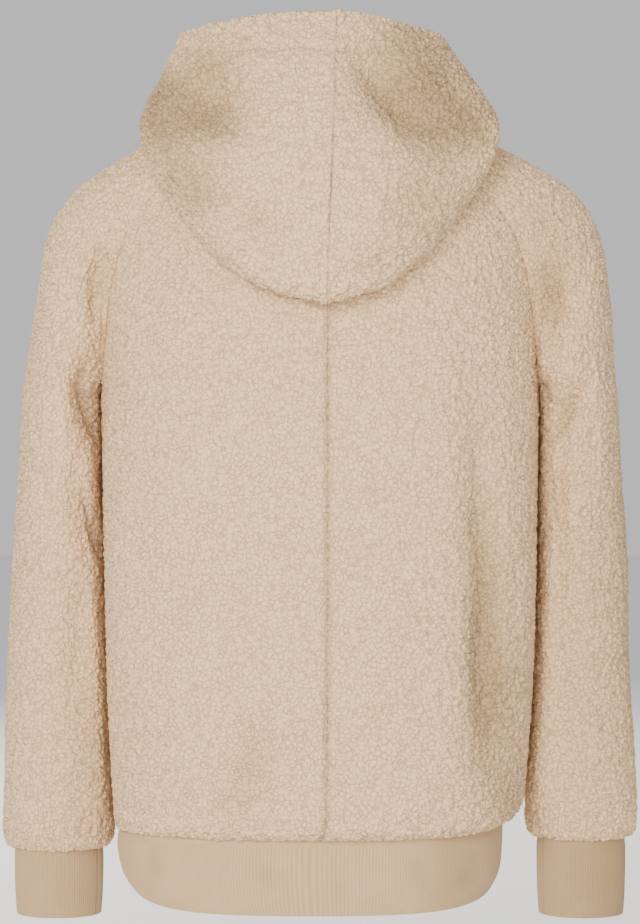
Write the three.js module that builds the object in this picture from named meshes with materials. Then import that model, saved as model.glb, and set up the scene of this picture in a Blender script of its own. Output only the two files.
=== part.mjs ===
// A fleece pullover with a hood, filled out as if worn, with its hood down on the back.
// Millimetres, +Z up. The wearer faces -Y, so the back is towards +Y and the wearer's left is +X.
// The origin lies in the middle of the neck, level with the highest points of the shoulders.
// Each piece is a closed wall of cloth: an outer face worked out from tables of sections, and an
// inner face one cloth thickness behind it. Neighbouring pieces stop a seam gap apart.

import * as THREE from "three";

const fleeceThick = 6; // knitted backing and pile together
const lipThick = 3.5; // the fleece where it is pressed by the rib seam
const ribThick = 3; // two layers of rib knit
const hoodHemThick = 9; // the hood's turned-in tunnel, two layers of fleece
const seamGap = 0.4;
const mitreLimit = 1.5; // a seam's inner edge reaches no further than this many thicknesses
const bodySquareness = 2.5; // 2 is an ellipse, and more is squarer
const backSeamShift = -7; // the centre back seam sits this far towards the wearer's right
const hoodSeamShift = -15; // the same for the hood's seam, at its rim
const hoodLean = 9.5; // the rest of the rim leans to the wearer's left
const sleeveDrop = { 1: 5, "-1": -5 }; // the left sleeve hangs lower than the right
const side = 90; // degrees round the body from the centre back to the side
const turn = 180;

const cream = 0xd6c4ae;
const creamRib = 0xccb69a;

// How many columns of cloth there are from the centre to the side or the raglan seam, and rows.
const backColumns = 8;
const frontColumns = 7;
const sleeveColumns = 16;
const lowerRows = 13;
const upperRows = 10;

// Body sections from the rib seam up: the way along the cloth, the height, the middle, the half
// width, and how far back and front.
const bodyColumns = ["z", "mid", "half", "back", "front"];
const bodySections = [
  [0, -654, 8, 177, 114, 105],
  [7, -653.5, 6, 183, 121, 112],
  [15, -647, 2.5, 188, 127, 118],
  [32, -630, 1, 190.5, 132, 122],
  [105, -557, 0.5, 195, 136, 125],
  [210, -452, 0, 198.5, 139, 127],
  [320, -342, 0, 201, 140, 128],
  [412, -250, 0, 202, 140, 127],
  [490, -172, 0, 200, 138, 119],
  [559, -103, 0, 193, 129, 98],
  [605, -57, 0, 176, 108, 76],
  [640, -22, 0, 150, 78, 62],
  [676, 14, 0, 112, 44, 44],
];
const sideLift = { 1: -2, "-1": 14 }; // the rib seam rises this far at each side
const sideLiftOver = 170; // and the cloth above it evens out over this length
const hemSideLift = 24; // the hem's edge rises this far at the sides
const underarm = 7; // its row
const underarmHeight = -250;
const bodyLip = 15; // the fleece rolls under to the rib seam over this length

// Raglan seams from the underarm, at 0, to the neck, at 1: degrees round from the centre back or
// from the centre front, and the height.
const raglanColumns = ["degrees", "z"];
const backRaglan = [
  [0, 90, -250],
  [0.08, 81, -245],
  [0.2, 75, -214],
  [0.4, 69, -157],
  [0.55, 62, -119],
  [0.7, 51, -85],
  [0.85, 40, -49],
  [1, 30, -10],
];
const frontRaglan = [
  [0, 90, -250],
  [0.08, 81, -246],
  [0.2, 71, -222],
  [0.4, 60.5, -176],
  [0.55, 51.5, -142],
  [0.7, 42, -108],
  [0.85, 32.5, -75],
  [1, 24, -46],
];
const backNeckHeight = -15;
const frontNeckHeight = -88;

// The sleeve below the underarm, from the cuff seam up: its inner and outer edge, and how far it
// reaches to the back and front of them.
const armColumns = ["z", "inner", "innerY", "outer", "outerY", "depth"];
const armSections = [
  [0, -678, 205.6, -45, 289.4, -45, 37],
  [7, -678, 200, -45, 295, -45, 43],
  [15, -672, 196, -45, 299.5, -45, 48.5],
  [32, -655, 194.5, -44, 301.5, -44, 53],
  [87, -600, 196, -42, 301, -42, 58],
  [187, -500, 200.5, -37, 297.5, -38, 64],
  [287, -400, 203.5, -28, 291.5, -32, 70],
  [387, -300, 204.5, -12, 282.5, -23, 77],
  [437, -250, 202.5, 0, 276.5, -18, 80],
];
const armLip = 15;

// The sleeve's outer edge above the underarm, along the raglan seams, and the degrees round from
// that edge at which the sleeve meets them.
const shoulderColumns = ["x", "y", "z", "cut"];
const shoulderSections = [
  [0, 276.5, -18, -246, 180],
  [0.08, 273.5, -17, -218, 158],
  [0.2, 270, -15, -176, 141],
  [0.4, 257, -11, -108, 122],
  [0.55, 229, -8, -69, 108],
  [0.7, 189, -5, -44, 92],
  [0.85, 142, -3, -20, 75],
  [1, 97, 0, 0, 65],
];
const shoulderShift = { 1: -6, "-1": 1 }; // one shoulder is drawn in and the other let out
const openRing = 0.3; // below this the cut follows from the ring's depth
const underarmDepth = 80;

// The hem band and the cuffs, from the seam down to the edge.
const hemColumns = ["z", "mid", "half", "back", "front"];
const hemSections = [
  [0, -650.8, 8, 174.8, 111.8, 102.8],
  [4, -654.6, 8.1, 175.6, 112.6, 103.6],
  [14, -664, 9, 178, 115, 106],
  [36, -686, 9.3, 178, 115, 106],
  [56, -709.5, 8.3, 175, 113, 104],
  [68, -722, 7.3, 168, 110, 101],
];
const cuffColumns = ["z", "half", "depth"];
const cuffSections = [
  [0, -675, 40, 35.2],
  [4, -678.8, 40.8, 35.8],
  [14, -687, 42, 36.5],
  [50, -724, 41.5, 34],
  [74, -747.5, 40, 31],
];
const cuffMid = { x: 247.5, y: -45 };
const cuffRibs = 48; // vertical ribs round a cuff
const ribHeight = 0.6;

// The hood's stations round the neck, from the centre back, 0, to the centre front, 180. Each has
// the hood's cloth from the neck seam: up to its rise, over and down its under side to the fold,
// round the roll, and up its outer side, low and high, to the rim.
const hoodColumns = [
  "riseX", "riseY", "riseZ",
  "underX", "underY", "underZ",
  "foldX", "foldY", "foldZ",
  "lowX", "lowY", "lowZ",
  "highX", "highY", "highZ",
  "rimX", "rimY", "rimZ",
  "roll",
];
const hoodStations = [
  [0, 0, 88, 4, 0, 131, -86, 0, 161, -185, 0, 181, -128, 0, 171, -28, 0, 126, 79, 11],
  [25, 41, 84, 5, 50, 128, -78, 58, 156, -167, 63, 176, -116, 58, 165, -22, 47, 121, 76, 11],
  [50, 82, 68, 8, 97, 112, -54, 106, 133, -126, 114, 157, -84, 103, 143, -6, 85, 103, 71, 11],
  [70, 98, 36, 13, 122, 78, -18, 146, 100, -65, 152, 117, -40, 131, 102, 16, 113, 72, 69, 11.5],
  [80, 101, 19, 16, 127, 48, 5, 151, 70, -34, 159, 90, -14, 136, 77, 29, 118, 55, 68, 11.5],
  [90, 103, 2, 18, 128, 10, 18, 148, 20, -14, 157, 42, 4, 138, 44, 36, 122, 34, 64, 12],
  [115, 94, -42, -8, 109, -44, 4, 129, -52, -2, 144, -60, 15, 137, -58, 31, 121, -44, 45, 11],
  [130, 80, -66, -38, 94, -72, -22, 111, -81, -16, 123, -87, -10, 123, -86, 5, 108, -74, 19, 10],
  [145, 62, -84, -60, 69, -94, -48, 78, -102, -36, 85, -106, -27, 89, -105, -14, 86, -97, -2, 8],
  [180, 0, -91, -86, 0, -99, -78, 0, -105, -68, 0, -107.5, -61, 0, -107, -51, 0, -103, -41, 5],
];
const openFrom = 90; // from here to the front the hood's fold opens out
const openTo = 124;
const foldThick = 3; // the fleece pressed into the fold there
const hoodWay = [0, 0.05, 0.24, 0.42, 0.445, 0.47, 0.6, 0.8, 1]; // where those points lie, neck to rim
const hoodRows = [
  0, 0.025, 0.05, 0.09, 0.15, 0.24, 0.34, 0.42, 0.433, 0.445, 0.457, 0.47,
  0.53, 0.6, 0.68, 0.76, 0.84, 0.92, 0.95, 1,
];
const hoodHemWay = 0.93; // the tunnel's stitch line
const rollRise = 0.85; // the roll's ends lie this many radii above the fold

// The largest folds, as soft troughs (negative) and ridges along a line, each with its half width.
// On the back and the hood a line runs from x, z to x, z.
const backFolds = [
  [-138, -226, -146, -440, 18, -5],
  [-146, -420, -156, -615, 20, -8],
  [-171, -320, -172, -575, 16, 4],
  [52, -550, 72, -610, 26, -3],
  [120, -100, 150, -200, 22, -3],
];
const hoodFolds = [
  [88, 14, 98, -24, 30, -14],
  [-38, 30, -104, -34, 26, -14],
  [112, -64, 43, -141, 26, -5],
  [-121, -64, -60, -137, 26, -5],
  [-20, -45, -60, -135, 40, 3],
  [40, -55, 30, -145, 40, 3],
];
// On a sleeve a line runs from degrees round, height to degrees, height.
const sleeveFolds = {
  1: [
    [150, -200, 118, -125, 17, -5],
    [155, -300, 116, -232, 18, -6],
    [150, -405, 122, -335, 18, -5],
    [100, -300, 96, -580, 22, 3],
    [-70, -240, -20, -400, 22, -5],
    [-100, -380, -50, -520, 22, -5],
  ],
  "-1": [
    [135, -222, 82, -158, 18, -6],
    [145, -262, 88, -198, 17, 6],
    [150, -300, 80, -248, 18, -8],
    [118, -300, 148, -405, 18, -5],
    [100, -330, 96, -580, 22, 3],
    [-60, -230, -10, -380, 22, -5],
    [-105, -390, -45, -520, 22, -5],
    [0, -450, 0, -560, 50, -3.5],
  ],
};
const degreeSpan = 1.15; // millimetres of sleeve to a degree, near enough for a fold's width

const radians = (degrees) => (degrees * Math.PI) / turn;
const sine = (degrees) => Math.sin(radians(degrees));
const cosine = (degrees) => Math.cos(radians(degrees));
const mix = (a, b, share) => a + (b - a) * share;
const clamp = (value, low, high) => Math.min(high, Math.max(low, value));
const smooth = (share) => {
  const s = clamp(share, 0, 1);
  return s * s * (3 - 2 * s);
};
const point = (x, y, z) => new THREE.Vector3(x, y, z);
const shares = (count, from = 0, to = 1) =>
  Array.from({ length: count + 1 }, (_, i) => mix(from, to, i / count));
const tiny = 1e-6;

// A smooth curve through a table's rows: its first column is where, and one other is what.
function through(where, what, at) {
  const last = where.length - 1;
  let i = 0;
  while (i < last - 1 && at > where[i + 1]) i += 1;
  const slope = (k) => {
    const a = Math.max(0, k - 1);
    const b = Math.min(last, k + 1);
    return (what[b] - what[a]) / (where[b] - where[a]);
  };
  const span = where[i + 1] - where[i];
  const t = (at - where[i]) / span;
  if (t < 0) return what[0] + slope(0) * (at - where[0]);
  if (t > 1) return what[last] + slope(last) * (at - where[last]);
  const rise = 3 * t * t - 2 * t * t * t;
  return (
    mix(what[i], what[i + 1], rise) +
    span * (slope(i) * (t - 2 * t * t + t * t * t) + slope(i + 1) * (t * t * t - t * t))
  );
}

// Turns a table into functions, one for each named column.
function reader(rows, columns, first = 0) {
  const where = rows.map((row) => row[first]);
  return Object.fromEntries(
    columns.map((name, c) => {
      const what = rows.map((row) => row[c + 1]);
      return [name, (at) => through(where, what, at)];
    }),
  );
}

const body = reader(bodySections, bodyColumns);
const girth = reader(bodySections.slice(3), bodyColumns, 1); // by height, above the lip
const raglan = { back: reader(backRaglan, raglanColumns), front: reader(frontRaglan, raglanColumns) };
const neckHeight = { back: backNeckHeight, front: frontNeckHeight };
const arm = reader(armSections, armColumns);
const shoulder = reader(shoulderSections, shoulderColumns);
const hem = reader(hemSections, hemColumns);
const cuff = reader(cuffSections, cuffColumns);
const hood = reader(hoodStations, hoodColumns);
const lastWay = (sections) => sections[sections.length - 1][0];

// How far the folds move the cloth at a place.
function foldDepth(folds, across, up) {
  let depth = 0;
  for (const [fromX, fromZ, toX, toZ, half, height] of folds) {
    const runX = toX - fromX;
    const runZ = toZ - fromZ;
    const length = Math.hypot(runX, runZ);
    const along = ((across - fromX) * runX + (up - fromZ) * runZ) / length;
    const aside = ((across - fromX) * runZ - (up - fromZ) * runX) / length;
    const past = Math.max(0, -along, along - length);
    const fade = 0.4 * length + half;
    const taper = smooth((along + half) / fade) * smooth((length + half - along) / fade);
    depth += height * taper * Math.exp(-((aside * aside + 0.5 * past * past) / (half * half)));
  }
  return depth;
}

// The share of its side lift that the cloth has this many degrees round from the centre back.
const liftShare = (degrees) => (1 - Math.abs(cosine(degrees))) ** 2;

// A point of a ring round the body: degrees from the centre back, where 180 is the centre front.
function ringPoint(section, at, degrees, z) {
  const across = sine(degrees);
  const ahead = cosine(degrees);
  const power = 2 / bodySquareness;
  const reach = ahead >= 0 ? section.back(at) : section.front(at);
  return point(
    section.half(at) * Math.sign(across) * Math.abs(across) ** power,
    reach * Math.sign(ahead) * Math.abs(ahead) ** power,
    z,
  );
}

// The body's outer face on the hand 1, +X, or -1: facing is back or front, u runs from 0 at the
// centre to 1 at the side or raglan seam, and v from 0 at the rib, over 1 at the underarm, to 2 at
// the neck.
function bodyFace(hand, facing, u, v) {
  const reach = Math.abs(u);
  const mirror = u < 0 ? -hand : hand;
  let p;
  let mid = 0;
  if (v <= 1) {
    const way = v * bodySections[underarm][0];
    const degrees = facing === "back" ? reach * side : turn - reach * side;
    const lift = sideLift[mirror] * liftShare(degrees) * smooth(1 - way / sideLiftOver);
    p = ringPoint(body, way, degrees, body.z(way) + lift);
    mid = body.mid(way);
  } else {
    const share = v - 1;
    const seam = raglan[facing];
    const z = mix(mix(underarmHeight, neckHeight[facing], share), seam.z(share), reach * reach);
    const degrees = reach * seam.degrees(share);
    p = ringPoint(girth, z, facing === "back" ? degrees : turn - degrees, z);
  }
  p.x = mid + mirror * p.x;
  if (facing === "back" && reach < 1) p.x += backSeamShift * (1 - reach) ** 2;
  return p;
}

// The sleeve's outer face: v from 0 at the cuff, over 1 at the underarm, to 2 at the neck, and u
// from -1 at the front raglan or underarm seam to 1 at the back one.
function sleeveFace(hand, u, v) {
  if (v <= 1) {
    const way = v * lastWay(armSections);
    const z = arm.z(way) - sleeveDrop[hand] * (1 - v) ** 2;
    const inner = point(hand * arm.inner(way), arm.innerY(way), z);
    const outer = point(hand * arm.outer(way), arm.outerY(way), z + 4 * smooth(4 * v - 3));
    const share = (cosine(u * turn) + 1) / 2;
    return inner.lerp(outer, share).add(point(0, arm.depth(way) * sine(u * turn), 0));
  }
  const share = v - 1;
  const backEnd = bodyFace(hand, "back", 1, v);
  const frontEnd = bodyFace(hand, "front", 1, v);
  const middle = backEnd.clone().add(frontEnd).multiplyScalar(0.5);
  const chord = backEnd.clone().sub(frontEnd).multiplyScalar(0.5);
  const shifted = shoulderShift[hand] * smooth(4 * share) * smooth((0.85 - share) / 0.3);
  const crest = point(hand * (shoulder.x(share) + shifted), shoulder.y(share), shoulder.z(share));
  let cut = shoulder.cut(share);
  if (share < openRing) {
    const open = turn - (Math.asin(chord.length() / underarmDepth) * turn) / Math.PI;
    cut = mix(open, cut, smooth(share / openRing));
  }
  const round = u * cut;
  const outward = (cosine(round) - cosine(cut)) / (1 - cosine(cut));
  return middle
    .add(crest.sub(middle.clone()).multiplyScalar(outward))
    .add(chord.multiplyScalar(sine(round) / sine(cut)));
}

// The neckline on one hand, from the centre back, 0, to the centre front, 180.
const neckBack = 50;
const neckFront = 130;
const sleeveStation = (u) => mix(neckBack, neckFront, (1 - u) / 2);
function neckline(hand, station) {
  if (station <= neckBack) return bodyFace(hand, "back", station / neckBack, 2);
  if (station >= neckFront) return bodyFace(hand, "front", (turn - station) / (turn - neckFront), 2);
  return sleeveFace(hand, 1 - (2 * (station - neckBack)) / (neckFront - neckBack), 2);
}

// The hood's outer face: a station round the neck, and v from the neck to the rim.
function hoodFace(hand, station, v) {
  if (station < 0) return hoodFace(-hand, -station, v);
  if (station > turn) return hoodFace(-hand, 2 * turn - station, v);
  const at = (name) =>
    point(hand * hood[`${name}X`](station), hood[`${name}Y`](station), hood[`${name}Z`](station));
  const fold = at("fold");
  const low = at("low");
  const under = at("under");
  const outward = low.clone().sub(under).setZ(0).normalize();
  const roll = hood.roll(station);
  const up = point(0, 0, roll * rollRise);
  const open = smooth((station - openFrom) / (openTo - openFrom));
  const rollIn = fold.clone().addScaledVector(outward, -roll).add(up)
    .lerp(fold.clone().lerp(under, 0.15), open);
  const rollOut = fold.clone().addScaledVector(outward, roll).add(up)
    .lerp(fold.clone().lerp(low, 0.2), open);
  const neck = neckline(hand, station);
  const way = [neck, at("rise"), under, rollIn, fold, rollOut, low, at("high"), at("rim")];
  const along = (axis) => through(hoodWay, way.map((p) => p[axis]), v);
  const p = point(along("x"), along("y"), along("z"));
  const near = clamp(1 - station / neckBack, 0, 1) ** 2;
  const late = smooth(2 * v - 1);
  const lean = hoodLean * late * smooth((125 - station) / 60);
  p.x += lean + (mix(backSeamShift, hoodSeamShift, late) - lean) * near * smooth(8 * v);
  return p;
}

// The outward direction of a face: `sense` is 1 where u, then v, turns anticlockwise seen from
// outside.
function outwardOf(face, sense, u, v, step = 1e-3) {
  const across = face(u + step, v).sub(face(u - step, v));
  const up = face(u, v + step).sub(face(u, v - step));
  return across.cross(up).normalize().multiplyScalar(sense);
}

const faces = {
  back: (hand) => ({ face: (u, v) => bodyFace(hand, "back", u, v), sense: -hand }),
  front: (hand) => ({ face: (u, v) => bodyFace(hand, "front", u, v), sense: hand }),
  sleeve: (hand) => ({ face: (u, v) => sleeveFace(hand, u, v), sense: hand }),
  hood: (hand) => ({ face: (station, v) => hoodFace(hand, station, v), sense: -hand }),
};
function facing(name, hand, u, v) {
  const { face, sense } = faces[name](hand);
  return outwardOf(face, sense, u, v, name === "hood" && v === 0 ? 1e-2 : 1e-3);
}

// The direction, and the length for a thickness of 1, from a seam's inner edge to its outer one.
function mitre(...directions) {
  const sum = directions.reduce((total, d) => total.add(d), point(0, 0, -0.02));
  const spread = Math.max(sum.length() / directions.length, 1 / mitreLimit);
  return sum.normalize().divideScalar(spread);
}
function raglanMitre(hand, name, v) {
  if (v < 1 + tiny) return point(0, 0, -mitreLimit); // the cleft under the arm opens downwards
  return mitre(facing(name, hand, 1, v), facing("sleeve", hand, name === "back" ? 1 : -1, v));
}
function neckMitre(hand, station) {
  const around = [];
  if (station <= neckBack + tiny) around.push(facing("back", hand, station / neckBack, 2 - 1e-3));
  if (station >= neckFront - tiny) {
    around.push(facing("front", hand, (turn - station) / (turn - neckFront), 2 - 1e-3));
  }
  if (station >= neckBack - tiny && station <= neckFront + tiny) {
    const u = 1 - (2 * (station - neckBack)) / (neckFront - neckBack);
    around.push(facing("sleeve", hand, u, 2 - 1e-3));
  }
  const below = around.reduce((total, d) => total.add(d), point(0, 0, 0)).normalize();
  return mitre(below, facing("hood", hand, station, 5e-3));
}

// A closed wall over a grid of columns and rows. Rows for which `joined` holds close on
// themselves, as a tube does, and `lean` gives the mitre at a seam.
function wall({ face, sense, us, vs, thick, fold, lean = () => null, joined = () => false }) {
  const outer = [];
  const inner = [];
  vs.forEach((v) => {
    const outerRow = [];
    const innerRow = [];
    us.forEach((u) => {
      const outward = outwardOf(face, sense, u, v);
      const p = face(u, v);
      if (fold) p.addScaledVector(outward, fold(u, v, p));
      outerRow.push(p);
      innerRow.push(p.clone().addScaledVector(lean(u, v) ?? outward, -thick(u, v)));
    });
    outer.push(outerRow);
    inner.push(innerRow);
  });
  const lastColumn = us.length - 1;
  const lastRow = vs.length - 1;
  // Half a seam gap away from the seam, square to it.
  const draw = (p, inside, before, after) => {
    const seam = after.clone().sub(before).normalize();
    const away = inside.clone().sub(p);
    p.addScaledVector(away.addScaledVector(seam, -away.dot(seam)).normalize(), seamGap / 2);
  };
  for (const grid of [outer, inner]) {
    const was = grid.map((row) => row.map((p) => p.clone()));
    const before = (i) => Math.max(0, i - 1);
    for (let i = 0; i <= lastColumn; i += 1) {
      const after = Math.min(lastColumn, i + 1);
      draw(grid[0][i], was[1][i], was[0][before(i)], was[0][after]);
      draw(grid[lastRow][i], was[lastRow - 1][i], was[lastRow][before(i)], was[lastRow][after]);
    }
    for (let j = 0; j <= lastRow; j += 1) {
      if (joined(vs[j])) {
        grid[j][lastColumn] = grid[j][0];
      } else {
        const after = Math.min(lastRow, j + 1);
        draw(grid[j][0], was[j][1], was[before(j)][0], was[after][0]);
        draw(grid[j][lastColumn], was[j][lastColumn - 1], was[before(j)][lastColumn], was[after][lastColumn]);
      }
    }
  }
  const positions = [];
  const triangle = (a, b, c) => {
    const order = sense > 0 ? [a, b, c] : [a, c, b];
    order.forEach((p) => positions.push(p.x, p.y, p.z));
  };
  const quad = (a, b, c, d) => {
    if (a.distanceToSquared(c) < b.distanceToSquared(d)) {
      triangle(a, b, c);
      triangle(a, c, d);
    } else {
      triangle(b, c, d);
      triangle(b, d, a);
    }
  };
  for (let j = 0; j < lastRow; j += 1) {
    const [low, high] = [j, j + 1];
    for (let i = 0; i < lastColumn; i += 1) {
      quad(outer[low][i], outer[low][i + 1], outer[high][i + 1], outer[high][i]);
      quad(inner[low][i], inner[high][i], inner[high][i + 1], inner[low][i + 1]);
    }
    if (!(joined(vs[low]) && joined(vs[high]))) {
      const end = lastColumn;
      quad(outer[low][0], outer[high][0], inner[high][0], inner[low][0]);
      quad(outer[high][end], outer[low][end], inner[low][end], inner[high][end]);
    }
  }
  for (let i = 0; i < lastColumn; i += 1) {
    quad(outer[0][i + 1], outer[0][i], inner[0][i], inner[0][i + 1]);
    quad(outer[lastRow][i], outer[lastRow][i + 1], inner[lastRow][i + 1], inner[lastRow][i]);
  }
  const made = new THREE.BufferGeometry();
  made.setAttribute("position", new THREE.Float32BufferAttribute(positions, 3));
  made.computeVertexNormals();
  return made;
}

function piece(name, geometry, colour, roughness) {
  const material = new THREE.MeshStandardMaterial({ color: colour, roughness, metalness: 0 });
  const mesh = new THREE.Mesh(geometry, material);
  mesh.name = name;
  return mesh;
}

// Rows up to the underarm, closer together at the rolled lip, and rows above it.
const rowsOver = (lip, length) => [
  0,
  (0.5 * lip) / length,
  ...shares(lowerRows, lip / length, 1),
  ...shares(upperRows, 1, 2).slice(1),
];
const bodyRows = rowsOver(bodyLip, bodySections[underarm][0]);
const armRows = rowsOver(armLip, lastWay(armSections));
const lipTaper = (v, length, lip) => mix(lipThick, fleeceThick, smooth((v * length) / lip));
const calmNear = (edge, way, over) => smooth(Math.abs(edge - way) / over); // no folds at a seam

function backPanel(hand) {
  return wall({
    ...faces.back(hand),
    us: shares(backColumns),
    vs: bodyRows,
    thick: (u, v) => lipTaper(v, bodySections[underarm][0], bodyLip),
    fold: (u, v, p) =>
      foldDepth(backFolds, p.x, p.z) * calmNear(1, u, 0.15) * calmNear(2, v, 0.15) * calmNear(0, v, 0.1),
    lean: (u, v) => {
      if (v > 2 - tiny) return neckMitre(hand, u * neckBack);
      return u > 1 - tiny && v > 1 - tiny ? raglanMitre(hand, "back", v) : null;
    },
  });
}

function frontPanel() {
  return wall({
    face: (u, v) => bodyFace(1, "front", u, v),
    sense: 1,
    us: shares(2 * frontColumns, -1, 1),
    vs: bodyRows,
    thick: (u, v) => lipTaper(v, bodySections[underarm][0], bodyLip),
    lean: (u, v) => {
      const hand = u < 0 ? -1 : 1;
      if (v > 2 - tiny) return neckMitre(hand, turn - Math.abs(u) * (turn - neckFront));
      return Math.abs(u) > 1 - tiny && v > 1 - tiny ? raglanMitre(hand, "front", v) : null;
    },
  });
}

function sleeve(hand) {
  const folds = sleeveFolds[hand].map(([fromDegrees, fromZ, toDegrees, toZ, half, height]) =>
    [fromDegrees * degreeSpan, fromZ, toDegrees * degreeSpan, toZ, half, height]);
  return wall({
    ...faces.sleeve(hand),
    us: shares(sleeveColumns, -1, 1),
    vs: armRows,
    thick: (u, v) => lipTaper(v, lastWay(armSections), armLip),
    joined: (v) => v < 1 + tiny,
    fold: (u, v, p) => {
      const cut = v <= 1 ? turn : shoulder.cut(v - 1);
      return foldDepth(folds, u * cut * degreeSpan, p.z) *
        calmNear(1, Math.abs(u), 0.2) * calmNear(2, v, 0.15) * calmNear(0, v, 0.1);
    },
    lean: (u, v) => {
      if (v > 2 - tiny) return neckMitre(hand, sleeveStation(u));
      return Math.abs(u) > 1 - tiny && v > 1 - tiny ? raglanMitre(hand, u > 0 ? "back" : "front", v) : null;
    },
  });
}

function hoodHalf(hand) {
  const back = shares(backColumns, 0, neckBack);
  const over = shares(sleeveColumns, neckBack, neckFront).slice(1);
  const front = shares(frontColumns, neckFront, turn).slice(1);
  return wall({
    ...faces.hood(hand),
    us: [...back, ...over, ...front],
    vs: hoodRows,
    thick: (station, v) => {
      const pressed = smooth((station - 60) / 30) * smooth(3 - Math.abs(v - 0.445) / 0.06);
      return mix(mix(fleeceThick, foldThick, pressed), hoodHemThick, smooth((v - hoodHemWay) * 50));
    },
    fold: (station, v, p) =>
      foldDepth(hoodFolds, p.x, p.z) * smooth(10 * v - 5) * smooth((90 - station) / 25),
    lean: (station, v) => (v < tiny ? neckMitre(hand, station) : null),
  });
}

function hemBand() {
  const back = shares(backColumns, 0, side);
  const front = shares(frontColumns, side, turn);
  const half = [...back, ...front.slice(1)];
  const degrees = [...half, ...half.slice(0, -1).reverse().map((d) => 2 * turn - d)];
  const length = lastWay(hemSections);
  return wall({
    face: (round, v) => {
      const way = v * length;
      const seamLift = sideLift[sine(round) < 0 ? -1 : 1];
      const lift = mix(seamLift, hemSideLift, smooth(way / length)) * liftShare(round);
      const p = ringPoint(hem, way, round, hem.z(way) + lift);
      return p.setX(p.x + hem.mid(way));
    },
    sense: 1,
    us: degrees,
    vs: hemSections.map((row) => row[0] / length),
    thick: () => ribThick,
    joined: () => true,
  });
}

function cuffBand(hand) {
  const length = lastWay(cuffSections);
  return wall({
    face: (round, v) => {
      const way = v * length;
      return point(
        hand * cuffMid.x + cuff.half(way) * sine(round),
        cuffMid.y + cuff.depth(way) * cosine(round),
        cuff.z(way) - sleeveDrop[hand] * (1 - v) ** 2,
      );
    },
    sense: 1,
    us: shares(2 * cuffRibs, 0, 2 * turn),
    vs: [0, 0.08, 0.22, 1],
    thick: () => ribThick,
    joined: () => true,
    fold: (round, v) => (v > 0.1 ? ribHeight * cosine(round * cuffRibs) : 0),
  });
}

const pullover = new THREE.Group();
pullover.add(
  piece("back_left", backPanel(1), cream, 1),
  piece("back_right", backPanel(-1), cream, 1),
  piece("front", frontPanel(), cream, 1),
  piece("sleeve_left", sleeve(1), cream, 1),
  piece("sleeve_right", sleeve(-1), cream, 1),
  piece("hood_left", hoodHalf(1), cream, 1),
  piece("hood_right", hoodHalf(-1), cream, 1),
  piece("hem_band", hemBand(), creamRib, 0.9),
  piece("cuff_left", cuffBand(1), creamRib, 0.9),
  piece("cuff_right", cuffBand(-1), creamRib, 0.9),
);

export default pullover;
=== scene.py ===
# A hooded sherpa fleece pullover in its worn shape, with nobody in it.
# Tables are in millimetres, and meshes in metres. +Z is up and the back is towards +Y.
import math
import bpy
import numpy as np
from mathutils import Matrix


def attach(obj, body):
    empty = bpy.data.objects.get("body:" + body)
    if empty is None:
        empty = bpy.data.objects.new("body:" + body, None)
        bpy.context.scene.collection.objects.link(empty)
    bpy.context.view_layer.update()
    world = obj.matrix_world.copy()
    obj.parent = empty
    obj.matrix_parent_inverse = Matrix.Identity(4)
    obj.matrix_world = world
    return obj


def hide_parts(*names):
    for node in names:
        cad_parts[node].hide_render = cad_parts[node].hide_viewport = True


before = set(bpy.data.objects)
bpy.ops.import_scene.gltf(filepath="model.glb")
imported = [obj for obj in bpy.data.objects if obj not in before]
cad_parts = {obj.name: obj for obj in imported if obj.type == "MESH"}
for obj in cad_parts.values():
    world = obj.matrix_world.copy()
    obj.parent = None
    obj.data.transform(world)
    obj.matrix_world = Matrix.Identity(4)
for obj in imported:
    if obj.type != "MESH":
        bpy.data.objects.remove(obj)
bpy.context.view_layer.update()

print("frame loaded:", len(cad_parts), "nodes")

# The camera, the light and the floor.

studio = {
    "cameraPlace": (0, 2.2, -0.32),
    "lens": 92.165,
    "floorHeight": -1.0,
    "floorColour": (0.9, 0.9, 0.9, 1),
    "worldStrength": 0.66,
    "lampColour": (1, 0.962, 0.89),
    "lamps": [  # place, aimed at, size, watts
        ((0.95, 3.2, 0.6), (0, 0, -0.35), 1.4, 110),
        ((0.05, 3.4, -0.3), (0, 0, -0.35), 0.9, 62),
        ((-2.6, 2.4, 0.6), (0, 0, -0.35), 2.0, 10),
        ((0.8, -3.0, 1.7), (0, 0, -0.35), 2.2, 150),
    ],
}


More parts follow.
